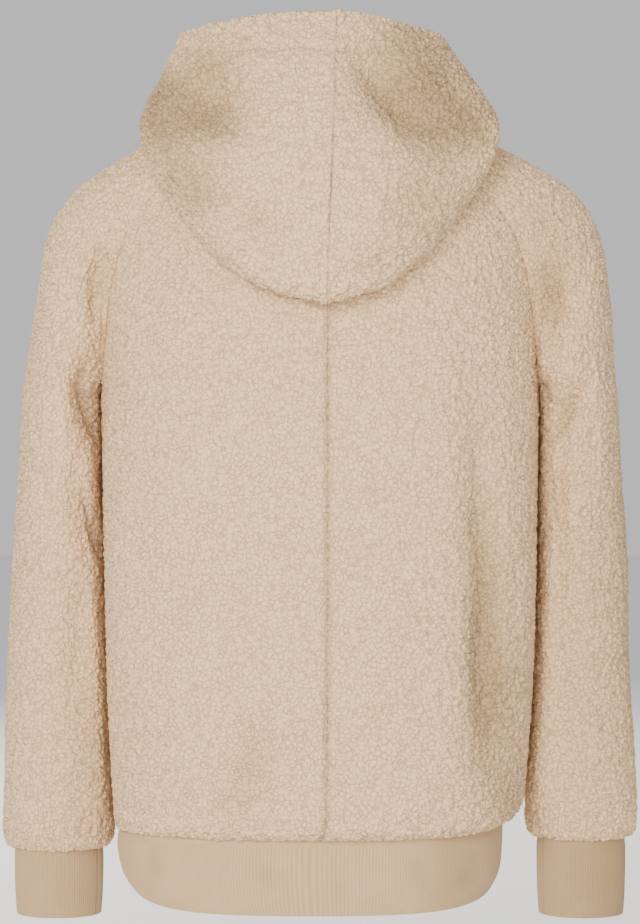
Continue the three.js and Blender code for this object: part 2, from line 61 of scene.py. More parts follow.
def setStudio():
    scene = bpy.context.scene
    camera = bpy.data.objects.new("camera", bpy.data.cameras.new("camera"))
    camera.data.lens = studio["lens"]
    camera.data.sensor_width = 36
    camera.location = studio["cameraPlace"]
    camera.rotation_euler = (math.radians(90), 0, math.radians(180))
    scene.collection.objects.link(camera)
    scene.camera = camera
    world = bpy.data.worlds.new("studio")
    world.use_nodes = True
    world.node_tree.nodes["Background"].inputs["Color"].default_value = (1, 1, 1, 1)
    world.node_tree.nodes["Background"].inputs["Strength"].default_value = studio["worldStrength"]
    scene.world = world
    for i, (place, aim, size, watts) in enumerate(studio["lamps"]):
        lamp = bpy.data.objects.new(f"softbox{i + 1}", bpy.data.lights.new(f"softbox{i + 1}", "AREA"))
        lamp.data.shape = "DISK"
        lamp.data.size = size
        lamp.data.energy = watts
        lamp.data.color = studio["lampColour"]
        lamp.location = place
        lamp.rotation_euler = (lamp.location - type(lamp.location)(aim)).to_track_quat("Z", "Y").to_euler()
        scene.collection.objects.link(lamp)
    bpy.ops.mesh.primitive_plane_add(size=30, location=(0, 0, studio["floorHeight"]))
    floor = bpy.context.object
    floor.name = "floor"
    paint = bpy.data.materials.new("floorPaint")
    paint.use_nodes = True
    shader = paint.node_tree.nodes["Principled BSDF"]
    shader.inputs["Base Color"].default_value = studio["floorColour"]
    shader.inputs["Roughness"].default_value = 0.9
    floor.data.materials.append(paint)


setStudio()
print("studio set")


# Node trees written as expressions.

class Wire:
    def __init__(self, net, socket):
        self.net, self.socket = net, socket

    def maths(self, operation, *others, swap=False):
        terms = [self, *others]
        if swap:
            terms.reverse()
        return self.net.node("ShaderNodeMath", {"operation": operation}, dict(enumerate(terms)))

    def __add__(self, other):
        return self.maths("ADD", other)

    def __sub__(self, other):
        return self.maths("SUBTRACT", other)

    def __mul__(self, other):
        return self.maths("MULTIPLY", other)

    def __truediv__(self, other):
        return self.maths("DIVIDE", other)

    def __pow__(self, other):
        return self.maths("POWER", other)

    def __rsub__(self, other):
        return self.maths("SUBTRACT", other, swap=True)

    __radd__ = __add__
    __rmul__ = __mul__


class Net:
    def __init__(self, tree):
        self.tree = tree

    def node(self, kind, settings=None, sockets=None, out=0):
        made = self.tree.nodes.new(kind)
        for name, value in (settings or {}).items():
            setattr(made, name, value)
        for name, value in (sockets or {}).items():
            if isinstance(value, Wire):
                self.tree.links.new(value.socket, made.inputs[name])
            else:
                made.inputs[name].default_value = value
        return Wire(self, made.outputs[out])

    def between(self, value, low, high, toLow=0.0, toHigh=1.0):  # a smooth step
        places = {"Value": value, "From Min": low, "From Max": high, "To Min": toLow, "To Max": toHigh}
        return self.node("ShaderNodeMapRange", {"interpolation_type": "SMOOTHSTEP"}, places)

    def colours(self, share, first, second, blend="MIX"):
        return self.node("ShaderNodeMix", {"data_type": "RGBA", "blend_type": blend},
                         {0: share, 6: first, 7: second}, 2)

    def vectors(self, operation, first, second, out=0):
        return self.node("ShaderNodeVectorMath", {"operation": operation}, {0: first, 1: second}, out)

    def scaled(self, vector, amount):
        return self.node("ShaderNodeVectorMath", {"operation": "SCALE"}, {0: vector, "Scale": amount})

    def noise(self, vector, size, detail=2.0, out="Fac"):  # size in millimetres
        places = {"Vector": vector, "Scale": 1000 / size, "Detail": detail}
        return self.node("ShaderNodeTexNoise", {}, places, out)

    def cells(self, vector, size, feature="F1", out="Distance"):
        return self.node("ShaderNodeTexVoronoi", {"feature": feature},
                         {"Vector": vector, "Scale": 1000 / size}, out)


# The pile, the same for the mesh and for its colour.

pile = {
    "curl": 4.5,  # across one curl of pile, mm
    "wander": 3.2,  # how far the curls' edges wander, mm
    "relief": 2.6,  # from a crevice's floor to a curl's top, mm
    "crevice": 0.13,  # the crevice's half width as a share of a curl
    "clump": 6.2,  # across a clump of curls, mm
    "clumpShare": 1.6,
    "swirl": 3.3,  # the size of the wandering, mm
    "filled": 5.5,  # between the part-filled crevices, mm
    "filledShare": 0.6,
    "flat": 0.66,  # a curl's height without its dome
    "grain": 1.9,
    "grainShare": 0.25,
    "seated": 0.95,  # the height that stays where the cloth is
}


def pileHeight(net, seat):
    swirl = net.noise(seat, pile["swirl"], 1.0, "Color")
    push = net.scaled(net.vectors("SUBTRACT", swirl, (0.5, 0.5, 0.5)), pile["wander"] / 1000)
    curled = net.vectors("ADD", seat, push)
    edge = net.cells(curled, pile["curl"], "DISTANCE_TO_EDGE")
    middle = net.cells(curled, pile["curl"], "F1")
    rim = net.between(edge, 0.0, pile["crevice"])
    closed = net.between(net.noise(seat, pile["filled"], 1.0), 0.48, 0.7)
    rim = rim + (1 - rim) * closed * pile["filledShare"]
    dome = 1 - net.between(middle, 0.0, 0.9)
    clump = net.noise(seat, pile["clump"], 1.0)
    grain = net.noise(seat, pile["grain"], 1.0)
    curl = rim * (pile["flat"] + dome * (1 - pile["flat"]))
    return curl + (clump - 0.5) * pile["clumpShare"] + (grain - 0.5) * pile["grainShare"], rim


def pileMover():
    tree = bpy.data.node_groups.new("pileMover", "GeometryNodeTree")
    tree.interface.new_socket("Geometry", in_out="INPUT", socket_type="NodeSocketGeometry")
    tree.interface.new_socket("Geometry", in_out="OUTPUT", socket_type="NodeSocketGeometry")
    net = Net(tree)
    cloth = net.node("NodeGroupInput")
    seat = net.node("GeometryNodeInputNamedAttribute", {"data_type": "FLOAT_VECTOR"}, {"Name": "seat"})
    depth = net.node("GeometryNodeInputNamedAttribute", {"data_type": "FLOAT"}, {"Name": "pile"})
    fall = (pileHeight(net, seat)[0] - pile["seated"]) * depth * (pile["relief"] / 1000)
    outward = net.node("GeometryNodeInputNormal")
    offset = net.scaled(outward, fall)
    moved = net.node("GeometryNodeSetPosition", {}, {"Geometry": cloth, "Offset": offset})
    end = tree.nodes.new("NodeGroupOutput")
    tree.links.new(moved.socket, end.inputs[0])
    return tree


fleeceLook = {
    "curlColour": (0.765, 0.53, 0.315, 1),
    "creviceShadeColour": (0.50, 0.33, 0.175, 1),
    "seamShadeColour": (0.42, 0.27, 0.14, 1),
    "paintedShadeColour": (0.52, 0.505, 0.44, 1),  # painted shade, multiplied in where the folds, creases and hollows are shaded
    "backingColour": (0.64, 0.435, 0.25, 1),
    "backingDark": (0.55, 0.36, 0.2, 1),
    "patchColour": (0.60, 0.405, 0.22, 1),
    "patchSize": 70.0,
    "fleckColour": (0.86, 0.62, 0.41, 1),
    "fleckSize": 1.4,
    "sheenTint": (0.95, 0.85, 0.72, 1),
}


def fleeceMaterial():
    made = bpy.data.materials.new("sherpaFleece")
    made.use_nodes = True
    net = Net(made.node_tree)
    shader = made.node_tree.nodes["Principled BSDF"]
    seat = net.node("ShaderNodeAttribute", {"attribute_name": "seat"}, {}, "Vector")
    outside = net.node("ShaderNodeAttribute", {"attribute_name": "outside"}, {}, "Fac")
    grooveShade = net.node("ShaderNodeAttribute", {"attribute_name": "grooveShade"}, {}, "Fac")
    paintedShade = net.node("ShaderNodeAttribute", {"attribute_name": "paintedShade"}, {}, "Fac")
    height, rim = pileHeight(net, seat)
    # painted shade: the crevices between the curls, and the lower parts of the pile, are darker
    tone = net.colours(rim * 0.8 + height * 0.2, fleeceLook["creviceShadeColour"], fleeceLook["curlColour"])
    patch = net.noise(seat, fleeceLook["patchSize"], 3.0)
    tone = net.colours(net.between(patch, 0.3, 0.7, 0.0, 0.10), tone, fleeceLook["patchColour"])
    fleck = net.noise(seat, fleeceLook["fleckSize"], 2.0)
    tone = net.colours(net.between(fleck, 0.35, 0.7, 0.0, 0.2), tone, fleeceLook["fleckColour"])
    # painted shade in the seam grooves and along the hood's stitching
    tone = net.colours(grooveShade * 0.45, tone, fleeceLook["seamShadeColour"])
    # painted shade: darkens the folds, creases and hollows
    tone = net.colours(paintedShade, tone, fleeceLook["paintedShadeColour"], "MULTIPLY")
    knit = net.noise(seat, 1.1, 1.0)
    backing = net.colours(knit, fleeceLook["backingColour"], fleeceLook["backingDark"])
    whole = net.colours(outside, backing, tone)
    made.node_tree.links.new(whole.socket, shader.inputs["Base Color"])
    rough = net.noise(seat, 1.0, 3.0) * 0.3 + height * outside
    bump = net.node("ShaderNodeBump", {}, {"Strength": 0.65, "Distance": 0.0016, "Height": rough}, "Normal")
    made.node_tree.links.new(bump.socket, shader.inputs["Normal"])
    shader.inputs["Roughness"].default_value = 1.0
    shader.inputs["Specular IOR Level"].default_value = 0.08
    shader.inputs["Sheen Weight"].default_value = 0.05
    shader.inputs["Sheen Roughness"].default_value = 0.6
    shader.inputs["Sheen Tint"].default_value = fleeceLook["sheenTint"]
    return made


ribLook = {
    "ridgeColour": (0.55, 0.378, 0.212, 1),
    "valleyShadeColour": (0.42, 0.28, 0.15, 1),
    "heatherColour": (0.45, 0.30, 0.16, 1),
    "cloudColour": (0.63, 0.445, 0.265, 1),
    "seamShadeColour": (0.40, 0.24, 0.12, 1),
    "loop": 1.15,  # height of one knitted loop, mm
}


def ribMaterial():
    made = bpy.data.materials.new("ribKnit")
    made.use_nodes = True
    net = Net(made.node_tree)
    shader = made.node_tree.nodes["Principled BSDF"]
    weave = net.node("ShaderNodeAttribute", {"attribute_name": "seat"}, {}, "Vector")
    ridge = net.node("ShaderNodeAttribute", {"attribute_name": "outside"}, {}, "Fac")
    paintedShade = net.node("ShaderNodeAttribute", {"attribute_name": "paintedShade"}, {}, "Fac")
    grooveShade = net.node("ShaderNodeAttribute", {"attribute_name": "grooveShade"}, {}, "Fac")
    along = net.node("ShaderNodeSeparateXYZ", {}, {"Vector": weave}, "Y")
    loops = (along * (2000 * math.pi / ribLook["loop"])).maths("SINE")
    heather = net.noise(weave, 1.6, 3.0)
    cloud = net.noise(weave, 28.0, 2.0)
    # painted shade: the valleys between the ribs are darker
    tone = net.colours(ridge, ribLook["valleyShadeColour"], ribLook["ridgeColour"])
    tone = net.colours(net.between(heather, 0.35, 0.7, 0.0, 0.28), tone, ribLook["heatherColour"])
    tone = net.colours(net.between(cloud, 0.35, 0.7, 0.0, 0.15), tone, ribLook["cloudColour"])
    # painted shade in the seam groove
    tone = net.colours(grooveShade * 0.7, tone, ribLook["seamShadeColour"])
    # painted shade in the creases and on the side away from the key light
    tone = net.colours(paintedShade, tone, fleeceLook["paintedShadeColour"], "MULTIPLY")
    made.node_tree.links.new(tone.socket, shader.inputs["Base Color"])
    relief = ridge * 0.5 + loops * 0.16 + heather * 0.5
    bump = net.node("ShaderNodeBump", {}, {"Strength": 0.35, "Distance": 0.0006, "Height": relief}, "Normal")
    made.node_tree.links.new(bump.socket, shader.inputs["Normal"])
    shader.inputs["Roughness"].default_value = 0.95
    shader.inputs["Specular IOR Level"].default_value = 0.12
    shader.inputs["Sheen Weight"].default_value = 0.1
    return made


fleeceCloth = fleeceMaterial()
ribCloth = ribMaterial()
pileTree = pileMover()
print("cloths mixed")


# The shapes of the body, sleeves and hood, from the same tables as the solids.

def mix(a, b, share):
    return a + (b - a) * share


def smooth(share):
    s = np.clip(share, 0, 1)
    return s * s * (3 - 2 * s)


def through(where, what, at):  # a smooth curve through a table's rows
    last = len(where) - 1
    slopes = [
        (what[min(last, k + 1)] - what[max(0, k - 1)]) / (where[min(last, k + 1)] - where[max(0, k - 1)])
        for k in range(last + 1)
    ]
    result = what[0] + slopes[0] * (at - where[0])
    for k in range(last):
        span = where[k + 1] - where[k]
        t = (at - where[k]) / span
        rise = 3 * t * t - 2 * t ** 3
        part = what[k] + (what[k + 1] - what[k]) * rise
        part = part + span * (slopes[k] * (t - 2 * t * t + t ** 3) + slopes[k + 1] * (t ** 3 - t * t))
        result = np.where(at >= where[k], part, result)
    return np.where(at > where[last], what[last] + slopes[last] * (at - where[last]), result)


def reader(rows, columns, first=0):
    where = [row[first] for row in rows]

    def column(at, c):
        values, back = np.unique(at, return_inverse=True)  # most points share their row with others
        return through(where, [row[c + 1] for row in rows], values)[back].reshape(np.shape(at))
    return {name: (lambda at, c=c: column(at, c)) for c, name in enumerate(columns)}


def sine(degrees):
    return np.sin(np.radians(degrees))


def cosine(degrees):
    return np.cos(np.radians(degrees))


def place(x, y, z):
    return np.stack(np.broadcast_arrays(x, y, z), -1).astype(float)


def unit(vectors):
    return vectors / np.maximum(np.linalg.norm(vectors, axis=-1, keepdims=True), 1e-9)


torso = {
    "columns": ["z", "mid", "half", "back", "front"],
    "sections": [  # way up the cloth, then height, middle, half width, reach to the back and front
        [0, -654, 8, 177, 114, 105], [7, -653.5, 6, 183, 121, 112], [15, -647, 2.5, 188, 127, 118],
        [32, -630, 1, 190.5, 132, 122], [105, -557, 0.5, 195, 136, 125], [210, -452, 0, 198.5, 139, 127],
        [320, -342, 0, 201, 140, 128], [412, -250, 0, 202, 140, 127], [490, -172, 0, 200, 138, 119],
        [559, -103, 0, 193, 129, 98], [605, -57, 0, 176, 108, 76], [640, -22, 0, 150, 78, 62],
        [676, 14, 0, 112, 44, 44],
    ],
    "toUnderarm": 412,
    "underarmHeight": -250,
    "squareness": 2.5,
    "backSeamShift": -7,
    "sideLift": (-2, 14),  # wearer's left and right
    "sideLiftOver": 170,
    "neckHeight": {"back": -15, "front": -88},
    "raglan": {  # share of the way from the underarm to the neck, degrees, height
        "back": [[0, 90, -250], [0.08, 81, -245], [0.2, 75, -214], [0.4, 69, -157],
                 [0.55, 62, -119], [0.7, 51, -85], [0.85, 40, -49], [1, 30, -10]],
        "front": [[0, 90, -250], [0.08, 81, -246], [0.2, 71, -222], [0.4, 60.5, -176],
                  [0.55, 51.5, -142], [0.7, 42, -108], [0.85, 32.5, -75], [1, 24, -46]],
    },
    "folds": [  # from x, z to x, z, half width, height
        [-138, -226, -146, -440, 18, -5], [-146, -420, -156, -615, 20, -8],
        [-171, -320, -172, -575, 16, 4], [52, -550, 72, -610, 26, -3], [120, -100, 150, -200, 22, -3],
    ],
    "creases": [  # smaller ones for the cloth alone
        [-146, -250, -152, -610, 12, -6], [55, -583, 78, -620, 9, -2.5], [180, -300, 182, -600, 14, 3],
        [-185, -300, -186, -600, 10, 3],
    ],
    "shadeStrokes": [  # painted shade along folds and hollows: its strength is the last number
        [-146, -330, -154, -640, 19, 0.75], [-170, -590, -172, -660, 18, 0.5],
        [44, -550, 84, -640, 22, 0.25], [-168, -470, -172, -590, 16, 0.35],
    ],
    "frontFolds": [
        [-60, -420, -40, -600, 26, -3], [90, -300, 110, -560, 24, -3], [-150, -330, -160, -560, 18, -4],
        [150, -250, 120, -330, 16, -3],
    ],
}
body = reader(torso["sections"], torso["columns"])
girth = reader(torso["sections"][3:], torso["columns"], 1)
raglan = {facing: reader(rows, ["degrees", "z"]) for facing, rows in torso["raglan"].items()}

sleeves = {
    "armColumns": ["z", "inner", "innerY", "outer", "outerY", "depth"],
    "arm": [
        [0, -678, 205.6, -45, 289.4, -45, 37], [7, -678, 200, -45, 295, -45, 43],
        [15, -672, 196, -45, 299.5, -45, 48.5], [32, -655, 194.5, -44, 301.5, -44, 53],
        [87, -600, 196, -42, 301, -42, 58], [187, -500, 200.5, -37, 297.5, -38, 64],
        [287, -400, 203.5, -28, 291.5, -32, 70], [387, -300, 204.5, -12, 282.5, -23, 77],
        [437, -250, 202.5, 0, 276.5, -18, 80],
    ],
    "shoulderColumns": ["x", "y", "z", "cut"],
    "shoulder": [
        [0, 276.5, -18, -246, 180], [0.08, 273.5, -17, -218, 158], [0.2, 270, -15, -176, 141],
        [0.4, 257, -11, -108, 122], [0.55, 229, -8, -69, 108], [0.7, 189, -5, -44, 92],
        [0.85, 142, -3, -20, 75], [1, 97, 0, 0, 65],
    ],
    "toUnderarm": 437,
    "drop": (5, -5),  # wearer's left and right
    "shoulderShift": (-6, 1),
    "openRing": 0.3,
    "underarmDepth": 80,
    "degreeSpan": 1.15,
    "folds": {  # degrees round from the outer edge, height, to degrees, height, half width, height
        1: [[150, -200, 118, -125, 17, -5], [155, -300, 116, -232, 18, -6], [150, -405, 122, -335, 18, -5],
            [100, -300, 96, -580, 22, 3], [-70, -240, -20, -400, 22, -5], [-100, -380, -50, -520, 22, -5]],
        -1: [[135, -222, 82, -158, 18, -6], [145, -262, 88, -198, 17, 6], [150, -300, 80, -248, 18, -8],
             [118, -300, 148, -405, 18, -5], [100, -330, 96, -580, 22, 3],
             [-60, -230, -10, -380, 22, -5], [-105, -390, -45, -520, 22, -5],
             [0, -450, 0, -560, 50, -3.5]],
    },
    "creases": {  # sharper ones, where the sleeve bends away from the body
        1: [[95, -122, 128, -196, 10, -8], [124, -226, 164, -300, 8, -6], [134, -345, 166, -412, 8, -5],
            [110, -250, 112, -330, 14, 3], [118, -350, 126, -440, 16, 3]],
        -1: [[132, -222, 92, -130, 10, -9], [166, -250, 150, -262, 7, -13], [160, -240, 104, -190, 12, 6],
             [156, -302, 100, -250, 8, -7], [152, -310, 144, -380, 10, -5], [110, -290, 108, -420, 16, 5]],
    },
    # painted shade along the sleeves' folds and sides: its strength is the last number
    "shadeStrokes": {
        1: [[100, -130, 128, -190, 12, 0.25], [128, -240, 166, -300, 10, 0.4],
            [136, -350, 166, -412, 10, 0.4], [156, -540, 156, -650, 16, 0.6],
            [132, -520, 130, -670, 20, 0.4]],
        -1: [[150, -225, 96, -140, 15, 0.35], [156, -302, 112, -262, 8, 0.3],
             [156, -310, 150, -640, 13, 0.35], [10, -230, 10, -650, 40, 0.4],
             [85, -250, 78, -720, 34, 0.25], [122, -195, 62, -70, 22, 0.35]],
    },
    "closer": 2.6,  # how far the lower sleeve's cloth leans on the body, mm
    "fuller": 19,  # how far it swells backwards beside the body, mm
    "fullAt": (0.84, 0.13),  # where round the sleeve, and over how much of it
}
arm = reader(sleeves["arm"], sleeves["armColumns"])
shoulder = reader(sleeves["shoulder"], sleeves["shoulderColumns"])

hooding = {
    "columns": ["rise", "under", "fold", "low", "high", "rim"],
    "stations": [  # degrees round the neck, six points from the neck to the rim, the fold's roll
        [0, (0, 88, 4), (0, 131, -86), (0, 161, -185),
         (0, 181, -128), (0, 171, -28), (0, 126, 79), 11],
        [25, (41, 84, 5), (50, 128, -78), (58, 156, -167),
         (63, 176, -116), (58, 165, -22), (47, 121, 76), 11],
        [50, (82, 68, 8), (97, 112, -54), (106, 133, -126),
         (114, 157, -84), (103, 143, -6), (85, 103, 71), 11],
        [70, (98, 36, 13), (122, 78, -18), (146, 100, -65),
         (152, 117, -40), (131, 102, 16), (113, 72, 69), 11.5],
        [80, (101, 19, 16), (127, 48, 5), (151, 70, -34),
         (159, 90, -14), (136, 77, 29), (118, 55, 68), 11.5],
        [90, (103, 2, 18), (128, 10, 18), (148, 20, -14),
         (157, 42, 4), (138, 44, 36), (122, 34, 64), 12],
        [115, (94, -42, -8), (109, -44, 4), (129, -52, -2),
         (144, -60, 15), (137, -58, 31), (121, -44, 45), 11],
        [130, (80, -66, -38), (94, -72, -22), (111, -81, -16),
         (123, -87, -10), (123, -86, 5), (108, -74, 19), 10],
        [145, (62, -84, -60), (69, -94, -48), (78, -102, -36),
         (85, -106, -27), (89, -105, -14), (86, -97, -2), 8],
        [180, (0, -91, -86), (0, -99, -78), (0, -105, -68),
         (0, -107.5, -61), (0, -107, -51), (0, -103, -41), 5],
    ],
    "ways": [0, 0.05, 0.24, 0.42, 0.445, 0.47, 0.6, 0.8, 1],
    "openFrom": 90,
    "openTo": 124,
    "rollRise": 0.85,
    "neckBack": 50,
    "neckFront": 130,
    "seamShift": -15,
    "lean": 9.5,
    "leanTill": (125, 60),  # the lean ends at this station, over so many degrees
    "tunnelWay": 0.93,
    "tunnelThick": 8.4,
    "rimWay": 570,  # along the cloth from the neck to the rim, mm
    # dark: painted shade along the stitched groove of the hood's tunnel
    "stitches": {"deep": 2.4, "reach": 3.4, "dark": 0.8, "line": 1.3},
    "pressedThick": 3,
    "folds": [
        [88, 14, 98, -24, 30, -14], [-38, 30, -104, -34, 26, -14],
        [112, -64, 43, -141, 26, -5], [-121, -64, -60, -137, 26, -5],
        [-20, -45, -60, -135, 40, 3], [40, -55, 30, -145, 40, 3],
    ],
    "creases": [[96, 30, 110, -16, 20, -8], [-30, 44, -86, -22, 14, -9], [-110, 20, -120, -60, 30, -7],
                [-70, -10, -84, -50, 10, -3]],
    "shadeStrokes": [  # painted shade round the hood's two hollows
        [135, 24, 142, -44, 28, 1.1], [104, -8, 84, -44, 25, 0.55], [137, -62, 93, -101, 24, 0.6],
        [62, -101, 35, -132, 14, 0.25], [119, 36, 71, 27, 16, 0.5],
        [-84, 44, -115, -44, 36, 0.95], [-30, 22, -62, -8, 15, 0.15], [-115, -79, -66, -119, 28, 0.35],
        [-43, 52, -95, 50, 14, 0.3], [-60, 66, -104, 62, 12, 0.35],
        [-138, 0, -140, -40, 14, 0.45], [-30, -158, -66, -140, 14, 0.35],
    ],
}
hoodWhere = [row[0] for row in hooding["stations"]]


def liftShare(degrees):
    return (1 - np.abs(cosine(degrees))) ** 2


def foldDepth(folds, across, up):
    depth = np.zeros(np.broadcast(across, up).shape)
    for fromX, fromZ, toX, toZ, half, height in folds:
        runX, runZ = toX - fromX, toZ - fromZ
        length = math.hypot(runX, runZ)
        along = ((across - fromX) * runX + (up - fromZ) * runZ) / length
        aside = ((across - fromX) * runZ - (up - fromZ) * runX) / length
        past = np.maximum(0, np.maximum(-along, along - length))
        fade = 0.4 * length + half
        taper = smooth((along + half) / fade) * smooth((length + half - along) / fade)
        depth += height * taper * np.exp(-((aside ** 2 + 0.5 * past ** 2) / half ** 2))
    return depth


def ringPoint(section, at, degrees, z):
    across, ahead = sine(degrees), cosine(degrees)
    power = 2 / torso["squareness"]
    reach = np.where(ahead >= 0, section["back"](at), section["front"](at))
    return place(section["half"](at) * np.sign(across) * np.abs(across) ** power,
                 reach * np.sign(ahead) * np.abs(ahead) ** power, z)


def bodyFace(hand, facing, u, v):  # u from the centre to the side, v from rib over underarm, 1, to neck, 2
    reach = np.abs(u)
    mirror = np.where(u < 0, -hand, hand)
    way = v * torso["toUnderarm"]
    degrees = reach * 90 if facing == "back" else 180 - reach * 90
    lift = np.where(mirror > 0, *torso["sideLift"]) * liftShare(degrees)
    lift = lift * smooth(1 - way / torso["sideLiftOver"])
    low = ringPoint(body, way, degrees, body["z"](way) + lift)
    share = v - 1
    seam = raglan[facing]
    z = mix(mix(torso["underarmHeight"], torso["neckHeight"][facing], share), seam["z"](share), reach ** 2)
    degrees = reach * seam["degrees"](share)
    high = ringPoint(girth, z, degrees if facing == "back" else 180 - degrees, z)
    lower = v <= 1
    p = np.where(lower[..., None], low, high)
    p[..., 0] = np.where(lower, body["mid"](way), 0) + mirror * p[..., 0]
    if facing == "back":
        p[..., 0] += torso["backSeamShift"] * np.clip(1 - reach, 0, None) ** 2
    return p


def sleeveFace(hand, u, v):  # u from -1 at the front seam to 1 at the back one
    way = v * sleeves["toUnderarm"]
    z = arm["z"](way) - np.where(hand > 0, *sleeves["drop"]) * (1 - v) ** 2
    inner = place(hand * arm["inner"](way), arm["innerY"](way), z)
    outer = place(hand * arm["outer"](way), arm["outerY"](way), z + 4 * smooth(4 * v - 3))
    low = mix(inner, outer, ((cosine(u * 180) + 1) / 2)[..., None])
    low[..., 1] += arm["depth"](way) * sine(u * 180)
    above = np.maximum(v, 1 + 1e-9)
    share = above - 1
    ones = np.ones_like(above)
    backEnd, frontEnd = bodyFace(hand, "back", ones, above), bodyFace(hand, "front", ones, above)
    middle, chord = (backEnd + frontEnd) / 2, (backEnd - frontEnd) / 2
    shifted = np.where(hand > 0, *sleeves["shoulderShift"]) * smooth(4 * share)
    shifted = shifted * smooth((0.85 - share) / 0.3)
    crest = place(hand * (shoulder["x"](share) + shifted), shoulder["y"](share), shoulder["z"](share))
    cut = shoulder["cut"](share)
    ratio = np.clip(np.linalg.norm(chord, axis=-1) / sleeves["underarmDepth"], 0, 1)
    opened = 180 - np.degrees(np.arcsin(ratio))
    ring = sleeves["openRing"]
    cut = np.where(share < ring, mix(opened, cut, smooth(share / ring)), cut)
    outward = (cosine(u * cut) - cosine(cut)) / (1 - cosine(cut))
    high = middle + (crest - middle) * outward[..., None] + chord * (sine(u * cut) / sine(cut))[..., None]
    return np.where((v <= 1)[..., None], low, high)


def neckline(hand, station):
    back, front = hooding["neckBack"], hooding["neckFront"]
    top = np.full(np.shape(station), 2.0)
    p = sleeveFace(hand, 1 - 2 * (station - back) / (front - back), top)
    p = np.where((station <= back)[..., None], bodyFace(hand, "back", station / back, top), p)
    return np.where((station >= front)[..., None],
                    bodyFace(hand, "front", (180 - station) / (180 - front), top), p)


def hoodFace(hand, station, v):  # round the neck from the centre back, 0, to the centre front, 180
    if station.ndim == 2:
        station = station[:, :1]  # a column of the cloth keeps its station
    hand = np.where((station < 0) | (station > 180), -hand, hand)
    station = np.abs(station)
    station = np.where(station > 180, 360 - station, station)
    spots = {}
    for c, name in enumerate(hooding["columns"]):
        ways = [[row[c + 1][axis] for row in hooding["stations"]] for axis in range(3)]
        spots[name] = np.stack([through(hoodWhere, way, station) for way in ways], -1)
        spots[name][..., 0] *= hand
    roll = through(hoodWhere, [row[7] for row in hooding["stations"]], station)[..., None]
    fold, low, under = spots["fold"], spots["low"], spots["under"]
    outward = low - under
    outward[..., 2] = 0
    outward = unit(outward)
    up = np.array([0, 0, 1]) * roll * hooding["rollRise"]
    opened = smooth((station - hooding["openFrom"]) / (hooding["openTo"] - hooding["openFrom"]))[..., None]
    rollIn = mix(fold - outward * roll + up, mix(fold, under, 0.15), opened)
    rollOut = mix(fold + outward * roll + up, mix(fold, low, 0.2), opened)
    way = [neckline(hand, station), spots["rise"], under, rollIn, fold, rollOut,
           low, spots["high"], spots["rim"]]
    p = through(hooding["ways"], way, v[..., None])
    near = np.clip(1 - station / hooding["neckBack"], 0, 1) ** 2
    late = smooth(2 * v - 1)
    till, over = hooding["leanTill"]
    lean = hooding["lean"] * late * smooth((till - station) / over)
    shift = mix(torso["backSeamShift"], hooding["seamShift"], late)
    p[..., 0] += lean + (shift - lean) * near * smooth(8 * v)
    return p


def outwardOf(face, sense, u, v, step=1e-3):
    across = face(u + step, v) - face(u - step, v)
    up = face(u, v + step) - face(u, v - step)
    return sense * unit(np.cross(across, up))


def raglanOut(hand, facing, v):  # the way out of a raglan seam, shared by both its pieces
    ones = np.ones_like(v)
    side = 1 if facing == "back" else -1
    ours = outwardOf(lambda a, b: bodyFace(hand, facing, a, b), -hand * side, ones, v)
    theirs = outwardOf(lambda a, b: sleeveFace(hand, a, b), hand, ones * side, v)
    out = unit(ours + theirs + np.array([0, 0, -0.04]))
    return unit(mix(np.array([0, 0, -1.0]), out, smooth((v - 1) / 0.06)[..., None]))


def neckOut(hand, station):  # the same for the neck seam
    back, front = hooding["neckBack"], hooding["neckFront"]
    top = np.full(np.shape(station), 2 - 1e-3)
    across = 1 - 2 * (station - back) / (front - back)
    below = outwardOf(lambda a, b: sleeveFace(hand, a, b), hand, across, top)
    onBack = outwardOf(lambda a, b: bodyFace(hand, "back", a, b), -hand, station / back, top)
    across = (180 - station) / (180 - front)
    onFront = outwardOf(lambda a, b: bodyFace(hand, "front", a, b), hand, across, top)
    below = np.where((station < back)[..., None], onBack, below)
    below = np.where((station > front)[..., None], onFront, below)
    start = np.full(np.shape(station), 0.01)
    hood = outwardOf(lambda a, b: hoodFace(hand, a, b), -hand, station, start, 1e-2)
    return unit(below + hood)


# Walls of cloth.

walls = {
    "fleeceThick": 5.4,
    "seamThick": 1.2,
    "seamRoll": 1.0,  # how far a seam draws the fleece in
    "seamReach": 2.6,  # and over what distance from it
    "coarse": 4,  # the plain inner face has one point for so many outer ones
    "seamThins": 9,  # the wall thins towards a seam from here
    "seamLine": 0.9,
    "seamLeans": 10,
    "lipThick": 3.4,
    "lipReach": 15,
    "freeEdge": 2.6,
    "paintedShadeMost": 0.9,
    "darkFold": 60,  # a fold so deep gets the darkest painted shade, mm
    "seamShade": {"first": 0.8, "last": 0.2},  # painted shade in the seam grooves; the centre seam is the darkest
    "seamShadeElse": 0.3,
    "calmRounds": 70,
    "calmOver": 0.1,
}


def edgeDistances(grid):
    acrossSteps = np.linalg.norm(np.diff(grid, axis=0), axis=-1)
    upSteps = np.linalg.norm(np.diff(grid, axis=1), axis=-1)
    fromFirst = np.concatenate([np.zeros((1, grid.shape[1])), np.cumsum(acrossSteps, 0)], 0)
    fromLow = np.concatenate([np.zeros((grid.shape[0], 1)), np.cumsum(upSteps, 1)], 1)
    return {"first": fromFirst, "last": fromFirst[-1:] - fromFirst,
            "low": fromLow, "high": fromLow[:, -1:] - fromLow}


def strip(fine, sparse, flip):  # triangles between a fine edge and a sparse one
    ratio = (len(fine) - 1) // (len(sparse) - 1)
    made = []
    for i in range(len(sparse) - 1):
        a, b = sparse[i], sparse[i + 1]
        run = fine[i * ratio:(i + 1) * ratio + 1]
        half = ratio // 2
        made += [(run[k], run[k + 1], a if k < half else b) for k in range(ratio)]
        made.append((run[half], b, a))
    return [(p, r, q) for p, q, r in made] if flip else made


